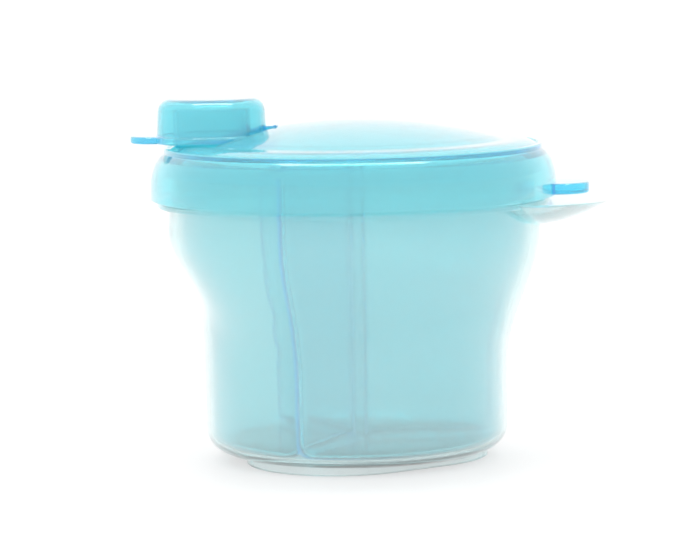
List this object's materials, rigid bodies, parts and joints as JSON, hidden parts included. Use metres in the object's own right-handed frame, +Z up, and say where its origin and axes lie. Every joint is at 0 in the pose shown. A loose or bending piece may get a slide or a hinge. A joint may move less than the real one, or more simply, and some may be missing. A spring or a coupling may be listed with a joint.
{
  "type": "formula dispenser",
  "caption": "Round lidded powder dispenser: a waisted milky cup, a lift-out divider with pods, and a domed lid with a finger tab and a flip-up spout cap.",
  "frame": {"origin": "on the cup's axis, in the plane of the foot ring that rests on the table", "axes": "+Z up along the cup's axis, +X towards the lid's finger tab and the cup's pull lip, -X towards the spout"},
  "size_m": [0.1307, 0.1108, 0.0989],
  "materials": {
    "milky_plastic": "milky translucent polypropylene, satin gloss",
    "aqua_plastic": "translucent aqua polypropylene, satin gloss",
    "cap_plastic": "translucent aqua polypropylene, satin gloss"
  },
  "bodies": {
    "cup": {"cup": "milky_plastic"},
    "divider": {"divider": "aqua_plastic"},
    "lid": {"lid": "aqua_plastic"},
    "spout_cap": {"spout_cap": "cap_plastic"}
  },
  "joints": [
    {"name": "divider_lift", "type": "slide", "parent": "cup", "child": "divider", "axis": [0, 0, 1], "range_m": [0, 0.085]},
    {"name": "lid_lift", "type": "slide", "parent": "divider", "child": "lid", "axis": [0, 0, 1], "range_m": [0, 0.05]},
    {"name": "cap_flip", "type": "hinge", "parent": "lid", "child": "spout_cap", "pos_m": [-0.021, 0, 0.09083], "axis": [0, 1, 0], "range_deg": [0, 105]}
  ]
}
